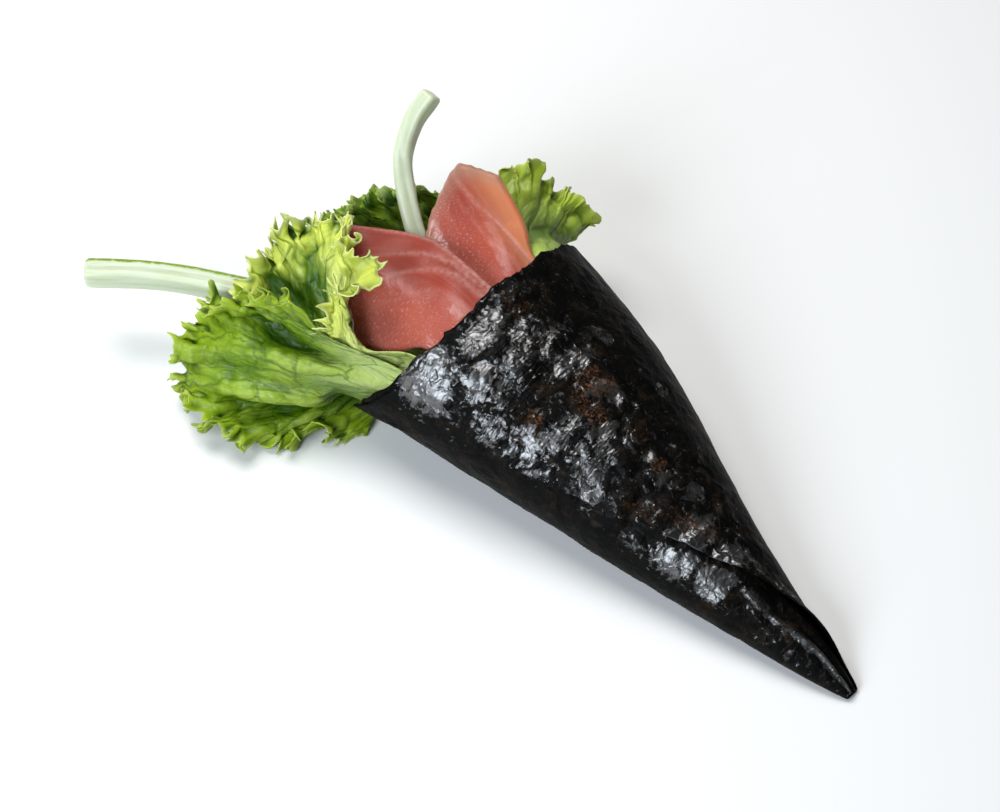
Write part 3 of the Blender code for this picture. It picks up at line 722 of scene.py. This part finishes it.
def growMargin(grid, base, toMargin, stage, seed):
    # the margin grows wider than the blade can hold flat, so it buckles into a frill
    across = np.linspace(0.0, 1.0, grid.shape[1])[None, :] * np.ones((grid.shape[0], 1))
    depth = np.minimum(stage["depth"], 0.6 * np.maximum(toMargin[:1] - 28.0, 4.0))
    closeness = np.clip(1.0 - toMargin / depth, 0.0, 1.0)
    fading = smoothStep(across, 0.0, 0.07) * smoothStep(1.0 - across, 0.0, 0.09)
    patchy = 0.85 + 0.8 * noiseAt(line(across * stage["waves"], seed + 2.0), 2.6)
    growth = 1.0 + stage["growth"] * patchy * fading * closeness ** 1.2
    alongRest = np.linalg.norm(np.diff(base, axis=0), axis=2)
    alongRest = alongRest * (1.0 + 0.16 * (growth[1:] - 1.0))
    acrossRest = np.linalg.norm(np.diff(base, axis=1), axis=2)
    acrossRest = acrossRest * 0.5 * (growth[:, 1:] + growth[:, :-1])
    wavelength = np.linalg.norm(np.diff(base[-1], axis=0), axis=1).sum() / stage["waves"]
    places = np.stack([across * stage["waves"], 0.45 * toMargin / wavelength,
                       np.full_like(across, seed)], -1)
    normal = gridDirections(grid)[0]
    size = stage["height"] * fading * (0.9 + 0.9 * noiseAt(places, 1.7, seed + 4.0))
    wave = 2.0 * noiseAt(places, 0.8, seed + 6.0)
    curl = 2.5 * closeness ** 2 * noiseAt(places, 1.4, seed + 8.0)
    grid = grid + normal * (size * (wave + curl) * closeness)[..., None]
    held = (closeness <= 0.0)[..., None]
    before = grid.copy()
    for turn in range(stage["rounds"]):
        for first in (0, 1):
            last = (grid.shape[1] - first) // 2 * 2 + first
            grid[:, first:last:2], grid[:, first + 1:last:2] = pullTogether(
                grid[:, first:last:2], grid[:, first + 1:last:2], acrossRest[:, first:last - 1:2])
            last = (grid.shape[0] - first) // 2 * 2 + first
            grid[first:last:2], grid[first + 1:last:2] = pullTogether(
                grid[first:last:2], grid[first + 1:last:2], alongRest[first:last - 1:2])
        stiff = stage["stiffness"]
        grid[:, 1:-1] += stiff * (0.5 * (grid[:, 2:] + grid[:, :-2]) - grid[:, 1:-1])
        grid[1:-1] += stiff * (0.5 * (grid[2:] + grid[:-2]) - grid[1:-1])
        grid = np.where(held, before, grid)
    return grid


def refine(grid, rows, columns, crowding=1.0):
    # the same surface with more points, crowded towards the margin where crowding is above 1
    shares = 1.0 - (1.0 - np.linspace(0.0, 1.0, rows)) ** crowding
    tall = np.array([smoothPoints(grid[:, column], shares) for column in range(grid.shape[1])])
    tall = tall.transpose(1, 0, 2)
    shares = np.linspace(0.0, 1.0, columns)
    return np.array([smoothPoints(tall[row], shares) for row in range(rows)])


def smoothPoints(points, shares):
    # Catmull-Rom through evenly numbered points
    ring = np.vstack([2 * points[:1] - points[1:2], points, 2 * points[-1:] - points[-2:-1]])
    steps = shares * (len(points) - 1.0)
    index = np.minimum(steps.astype(int), len(points) - 2)
    t = (steps - index)[:, None]
    a, b, c, d = (ring[index + offset] for offset in range(4))
    return 0.5 * (2 * b + (c - a) * t + (2 * a - 5 * b + 4 * c - d) * t ** 2
                  + (3 * b - a - 3 * c + d) * t ** 3)


def blistersAt(points, size):
    # rounded swellings from 0 at their edges to 1
    heights = []
    for point in points.reshape(-1, 3):
        near = noise.voronoi(Vector(point / size))[0]
        heights.append(math.sqrt(min(1.0, 1.6 * (near[1] - near[0]))))
    return np.array(heights).reshape(points.shape[:-1])


def makeLeaf(node, leaf):
    grid = None
    for level, stage in enumerate(leaf["stages"]):
        base = leafGrid(leaf, stage["rows"], stage["columns"])
        toMargin = gridDistances(base)[1]
        grid = base if grid is None else refine(grid, stage["rows"], stage["columns"])
        grid = growMargin(grid, base, toMargin, stage, 10.0 * leaf["seed"] + level)
    rows, columns = leaf["rows"], leaf["columns"]
    base = refine(base, rows, columns, 1.5)
    grid = refine(grid, rows, columns, 1.5)
    across = np.linspace(0.0, 1.0, columns)[None, :] * np.ones((rows, 1))
    travelled, toMargin = gridDistances(base)
    steps = np.linalg.norm(np.diff(base, axis=1), axis=2)
    sideways = np.hstack([np.zeros((rows, 1)), np.cumsum(steps, axis=1)])
    sideways = sideways - 0.5 * sideways[:, -1:]
    for teeth, height in leaf["teeth"]:
        normal, _, outward = gridDirections(grid)
        places = line(across * teeth, leaf["seed"] + teeth)
        phase = math.pi * (teeth * across + 0.7 * noiseAt(places, 1.8))
        spike = (1.0 - np.abs(np.sin(phase))) ** 1.3
        size = 1.0 + 0.9 * noiseAt(places, 1.3, 9.0)
        weight = np.clip(1.0 - toMargin / (2.0 * height), 0.0, 1.0) ** 1.2
        grid = grid + outward * (height * size * (spike - 0.35) * weight)[..., None]
    # the frill is twisted and its outline goes in and out
    margin = np.clip(1.0 - toMargin / 9.0, 0.0, 1.0)
    twist = np.stack([noiseAt(grid, 3.6, leaf["seed"] + axis) for axis in (2.0, 4.0, 6.0)], -1)
    lobes = 1.6 * noiseAt(line(across * leaf["columns"] / 40.0, leaf["seed"]), 1.0)
    outward = gridDirections(base)[2]
    grid = grid + 2.0 * twist * margin[..., None] + outward * (lobes * margin)[..., None]
    outside = smoothStep(travelled, 28.0, 44.0)
    fold = np.zeros_like(across)
    for centre, halfWidth, drop in leaf["folds"]:
        winding = 2.0 * noiseAt(line(travelled, 50.0 * centre), 14.0)
        reach = (sideways - (2.0 * centre - 1.0) * sideways[:, -1:] + winding) / halfWidth
        shallow = smoothStep(travelled, 38.0, 58.0) * smoothStep(toMargin, 1.0, 9.0)
        deepness = drop * np.exp(-reach ** 2) * shallow
        fold = np.maximum(fold, deepness)
    grid = grid - gridDirections(base)[0] * fold[..., None]
    # blisters between the veins
    flatMap = np.stack([sideways, 0.55 * travelled, np.full_like(travelled, 7.0 * leaf["seed"])], -1)
    warped = flatMap + 2.5 * np.stack([noiseAt(flatMap, 9.0, seed) for seed in (2.2, 6.1, 8.4)], -1)
    blisters = blistersAt(warped, 7.5) + 0.35 * blistersAt(warped, 3.4)
    calm = np.clip(toMargin / 9.0, 0.0, 1.0)
    grid = grid + gridDirections(grid)[0] * (0.95 * blisters * calm * outside)[..., None]
    grid[..., 2] = np.maximum(grid[..., 2], 0.6)
    frill = np.clip(1.0 - toMargin / 14.0, 0.0, 1.0)
    # how far each point stands out from its surroundings, or lies behind them: those behind get painted
    # shade, those standing out a painted highlight
    around = grid.copy()
    standing = []
    for turns in (40, 400):
        for turn in range(turns):
            around[:, 1:-1] += 0.45 * (0.5 * (around[:, 2:] + around[:, :-2]) - around[:, 1:-1])
            around[1:-1] += 0.45 * (0.5 * (around[2:] + around[:-2]) - around[1:-1])
        standing.append(((grid - around) * gridDirections(around)[0]).sum(axis=-1))
    lift = ((grid - base) * gridDirections(base)[0]).sum(axis=-1)
    # painted shade: darker green in the folds, where the sheet is pushed back and where it lies behind
    # its surroundings
    paintedShade = (0.2 * fold + 0.5 * smoothStep(-lift, 0.5, 4.0) + 0.7 * smoothStep(-standing[0], 0.02, 0.5)
              + 0.7 * smoothStep(-standing[1], 0.2, 2.0))
    atRoot = 0.8 * smoothStep(travelled, 54.0, 34.0)
    # the paler root is the leaf's own colour; the paler side is painted light, which only the middle
    # leaf's numbers reach
    pale = np.maximum(smoothStep(across, *leaf["paintedLightSide"]), atRoot)
    fields = {
        "leafMm": np.stack([sideways, travelled, np.full_like(travelled, 9.0 * leaf["seed"])], -1),
        "frill": frill ** 1.2,
        "paintedShade": np.clip(paintedShade * (1.0 - 0.75 * pale), 0.0, 1.0),
        "pale": pale,
        # painted highlight: lighter colour on points that stand out
        "paintedHighlight": smoothStep(standing[0], 0.05, 0.6) * 0.8,
    }
    material = lettuceMaterial(node.replace("lettuce_leaf_", "lettuce") + "Leaf", leaf["look"])
    piece = newPiece(node.replace("lettuce_", ""), grid, leaf["thickness"], material, fields)
    sitOn(piece, node)


# ---- tuna ----

tuna = {
    "thickness": 4.0,
    "columns": 130,
    "rows": 130,
    "stations": (32.0, 18.0, 5.0),
}
underTuna = wallDepth - 4.3 - 0.5
frontSlice = {
    "ribs": ((132, wallDepth, ((-2, -22.5, 30), (-10.4, -25.4, 26))),
             (110, wallDepth, ((-8, -11.5, 36), (-22.5, -18, 32.5))),
             (88, wallDepth, ((-15.3, 0.7, 38.5), (-33.6, -9.7, 36)))),
    "seed": 1.5, "wet": (0.7, 0.35),
    # how far across each sinew is at the mouth and at the free end, and its strength
    "sinews": ((0.97, 0.99, 0.9), (0.9, 0.74, 0.5), (0.82, 0.5, 0.45), (0.6, 0.3, 0.15)),
    "pale": (1.5, 2.0), "deep": (0.45, 0.95), "depth": 0.35, "tip": (1.5, 2.0),
}
backSlice = {
    "ribs": ((99, underTuna - 0.6, ((-6, -1, 31.5), (-17.5, 2.5, 34.5))),
             (86, underTuna, ((-8, 5, 34), (-22, 9.5, 37))),
             (72, wallDepth - 1.4, ((-9, 12.5, 39.5), (-21.5, 16.2, 44.5))),
             (58, wallDepth, ((-2, 18.5, 39.5), (-12.5, 20.5, 45)))),
    "seed": 4.5, "wet": (0.85, 0.2),
    "sinews": ((0.93, 0.6, 0.8), (0.85, 0.7, 0.3), (0.7, 0.5, 0.25)),
    "pale": (0.55, 0.95), "deep": (0.45, 0.1), "depth": 0.2, "tip": (0.88, 1.02),
}


def makeSlice(node, cut, material):
    lines = []
    for angle, depth, outside in cut["ribs"]:
        inside = [onCone(x, angle, depth) for x in tuna["stations"]]
        lines.append(np.vstack([inside, outside]))
    shares = np.linspace(0.0, 1.0, tuna["rows"])
    sides = np.linspace(0.0, 1.0, tuna["columns"])
    grid = ribsToGrid(lines, shares, sides)
    along, across = np.meshgrid(shares, sides, indexing="ij")
    edge = np.minimum(np.minimum(across, 1.0 - across) * 25.0, (1.0 - along) * 40.0)
    normal, sideways, outward = gridDirections(grid)
    # the cut edges are rounded over and the face is a little uneven
    drop = 0.9 * (1.0 - np.clip(edge, 0.0, 1.2) / 1.2) ** 2
    uneven = 0.35 * noiseAt(grid, 8.0, cut["seed"]) + 0.1 * noiseAt(grid, 2.4, cut["seed"])
    sinew = np.zeros_like(across)
    for atMouth, atEnd, strength in cut["sinews"]:
        centre = atMouth + (atEnd - atMouth) * smoothStep(along, 0.42, 1.0)
        centre = centre + 0.02 * noiseAt(line(along * 60.0, 40.0 * atMouth), 9.0)
        width = 0.022 + 0.03 * smoothStep(along, 0.75, 0.5)
        fading = strength * (0.35 + 0.65 * smoothStep(along, 1.0, 0.6))
        sinew = np.maximum(sinew, fading * np.exp(-((across - centre) / width) ** 2))
    uneven = uneven - 0.25 * sinew
    ragged = 0.5 * noiseAt(line(across * 25.0, cut["seed"]), 1.6) * smoothStep(along, 0.9, 1.0)
    grid = grid + normal * (uneven - drop)[..., None] + outward * ragged[..., None]
    wet = 0.05 + 0.95 * smoothStep(across, *cut["wet"])
    fields = {
        "cutMm": np.stack([across * 26.0, along * 60.0, np.zeros_like(across)], -1),
        "pale": smoothStep(across, *cut["pale"]),
        "deep": cut["depth"] * smoothStep(across, *cut["deep"]) * smoothStep(along, 0.9, 0.5),
        "tip": 0.75 * smoothStep(along, *cut["tip"]),
        "sinew": sinew,
        "wet": np.clip(wet + 0.25 * noiseAt(grid, 5.0, 3.3), 0.0, 1.0) * 0.9,
    }
    piece = newPiece(node.replace("slice_", ""), grid, tuna["thickness"], material, fields)
    sitOn(piece, node)


def makeTuna():
    material = tunaMaterial()
    makeSlice("tuna_slice_front", frontSlice, material)
    makeSlice("tuna_slice_back", backSlice, material)


# ---- cucumber ----

leftStick = {
    "points": ((-72.5, -52.2, 20), (-60, -40.7, 20), (-44.7, -30.8, 20), (-22, -19, 20),
               (0, -10, 18.5), (22, -7.5, 14.5)),
    "width": 6.0, "rows": 260, "columns": 72, "seed": 2.0, "skinAt": 56.0,
}
topStick = {
    "points": ((-32.7, 19.8, 56), (-33, 13.8, 50.5), (-30.5, 8.4, 43), (-21.3, 3.1, 33),
               (-11, 0.5, 25.5), (2, 0, 22.5), (20, 0.5, 18)),
    "width": 4.5, "rows": 240, "columns": 64, "seed": 6.0, "skinAt": 400.0,
}


def makeStick(node, stick, material):
    # a tube drawn out along the path, with a rounded square section
    path = smoothPath(stick["points"], np.linspace(0.0, 1.0, stick["rows"]))
    tangent = unit(np.gradient(path, axis=0))
    side = unit(np.cross((0.0, 0.0, 1.0), tangent))
    lift = np.cross(tangent, side)
    length = np.linalg.norm(np.diff(path, axis=0), axis=1).sum()
    along = np.linspace(0.0, length, stick["rows"])[:, None]
    turn = np.linspace(0.0, 2.0 * math.pi, stick["columns"] + 1)[None, :-1]
    radius = 0.5 * stick["width"] * (1.0 + 0.11 * np.cos(4.0 * turn + math.pi))
    toEnd = np.minimum(along, length - along)
    radius = radius * (0.86 + 0.14 * np.sqrt(np.clip(toEnd / 0.7, 0.0, 1.0)))
    grid = (path[:, None] + side[:, None] * (radius * np.cos(turn))[..., None]
            + lift[:, None] * (radius * np.sin(turn))[..., None])
    wobble = 0.07 * noiseAt(grid, 3.0, stick["seed"]) + 0.2 * noiseAt(grid, 9.0, stick["seed"])
    grid = grid + unit(grid - path[:, None]) * wobble[..., None]
    bpy.ops.object.select_all(action="DESELECT")
    # rings of the tube, with a fan closing each end
    rows, columns = grid.shape[:2]
    points = np.vstack([grid.reshape(-1, 3), path[:1], path[-1:]])
    faces = []
    for row in range(rows - 1):
        for column in range(columns):
            following = (column + 1) % columns
            low, high = row * columns, (row + 1) * columns
            faces.append((low + column, low + following, high + following, high + column))
    for column in range(columns):
        following = (column + 1) % columns
        faces.append((following, column, rows * columns))
        last = (rows - 1) * columns
        faces.append((last + column, last + following, rows * columns + 1))
    mesh = bpy.data.meshes.new(node)
    mesh.from_pydata(((points + origin) * mm).tolist(), [], faces)
    stickMm = np.stack([turn * 0.5 * stick["width"] * np.ones_like(along),
                        along * np.ones_like(turn), np.zeros((rows, columns))], -1)
    ends = np.array([[0.0, 0.0, 0.0], [0.0, length, 0.0]])
    attribute = mesh.attributes.new("stickMm", "FLOAT_VECTOR", "POINT")
    attribute.data.foreach_set("vector", np.vstack([stickMm.reshape(-1, 3), ends]).reshape(-1))
    offset = np.degrees(turn) - stick["skinAt"]
    skin = np.clip(1.0 - np.abs(offset) / 22.0, 0.0, 1.0) * np.ones_like(along)
    attribute = mesh.attributes.new("skin", "FLOAT", "POINT")
    attribute.data.foreach_set("value", np.r_[skin.reshape(-1), 0.0, 0.0])
    mesh.materials.append(material)
    piece = bpy.data.objects.new(node.replace("_stick", ""), mesh)
    scene.collection.objects.link(piece)
    mesh.shade_smooth()
    sitOn(piece, node)


# ---- stage ----

stage = {
    "azimuth": 45.71, "elevation": 55.0, "lens": 85.0, "distance": 519.44,
    "target": (18.92, -9.55, 18.0),
}


def aim(item, position, target):
    item.location = position
    item.rotation_euler = (Vector(target) - Vector(position)).to_track_quat("-Z", "Y").to_euler()


def addSoftbox(name, direction, distance, width, height, radiance, colour="ffffff"):
    # an area light whose surface has the given brightness, where 1 is the white of the floor
    lamp = bpy.data.lights.new(name, "AREA")
    lamp.shape = "RECTANGLE"
    lamp.size, lamp.size_y = width, height
    lamp.energy = radiance * math.pi * width * height
    lamp.color = hexColour(colour)[:3]
    item = bpy.data.objects.new(name, lamp)
    scene.collection.objects.link(item)
    centre = Vector((origin + np.array(stage["target"])) * mm)
    aim(item, centre + Vector(direction).normalized() * distance, centre)


def makeStage():
    target = (origin + np.array(stage["target"])) * mm
    azimuth, elevation = math.radians(stage["azimuth"]), math.radians(stage["elevation"])
    back = Vector((math.sin(azimuth) * math.cos(elevation),
                   -math.cos(azimuth) * math.cos(elevation), math.sin(elevation)))
    view = bpy.data.cameras.new("camera")
    view.lens = stage["lens"]
    view.clip_start = 0.01
    camera = bpy.data.objects.new("camera", view)
    scene.collection.objects.link(camera)
    aim(camera, Vector(target) + back * stage["distance"] * mm, target)
    scene.camera = camera
    bpy.ops.object.select_all(action="DESELECT")
    bpy.ops.mesh.primitive_plane_add(size=6.0, location=(0.0, 0.0, -0.0002))
    floor = bpy.context.object
    floor.name = "floor"
    material, tree, shader = startMaterial("paleCard")
    setSockets(shader, {"Base Color": hexColour("f4f4f2"), "Roughness": 0.7})
    # the floor stays pale where the lamps do not reach it
    position = addNode(tree, "TexCoord").outputs["Object"]
    away = addNode(tree, "VectorMath", {0: position}, operation="LENGTH")
    glow = addNode(tree, "MapRange", {"Value": away.outputs["Value"], 1: 0.3, 2: 1.4, 3: 0.0,
                                      4: 0.8})
    tree.links.new(glow.outputs[0], shader.inputs["Emission Strength"])
    floor.data.materials.append(material)
    world = bpy.data.worlds.new("studio")
    scene.world = world
    world.use_nodes = True
    world.node_tree.nodes["Background"].inputs["Color"].default_value = (0.93, 0.97, 1.0, 1.0)
    world.node_tree.nodes["Background"].inputs["Strength"].default_value = 0.08
    addSoftbox("frontSoftbox", (0.05, -0.82, 0.57), 0.62, 0.32, 0.32, 10.0, "ecf5ff")
    addSoftbox("topSoftbox", (-0.4, 0.05, 0.92), 0.7, 0.42, 0.42, 8.0)
    scene.view_settings.view_transform = "Standard"


makeStage()
makeNori()
makeLeaf("lettuce_leaf_front", frontLeaf)
makeLeaf("lettuce_leaf_middle", middleLeaf)
makeLeaf("lettuce_leaf_back", backLeaf)
makeLeaf("lettuce_leaf_inner", innerLeaf)
makeTuna()
cucumber = cucumberMaterial()
makeStick("cucumber_stick_left", leftStick, cucumber)
makeStick("cucumber_stick_top", topStick, cucumber)
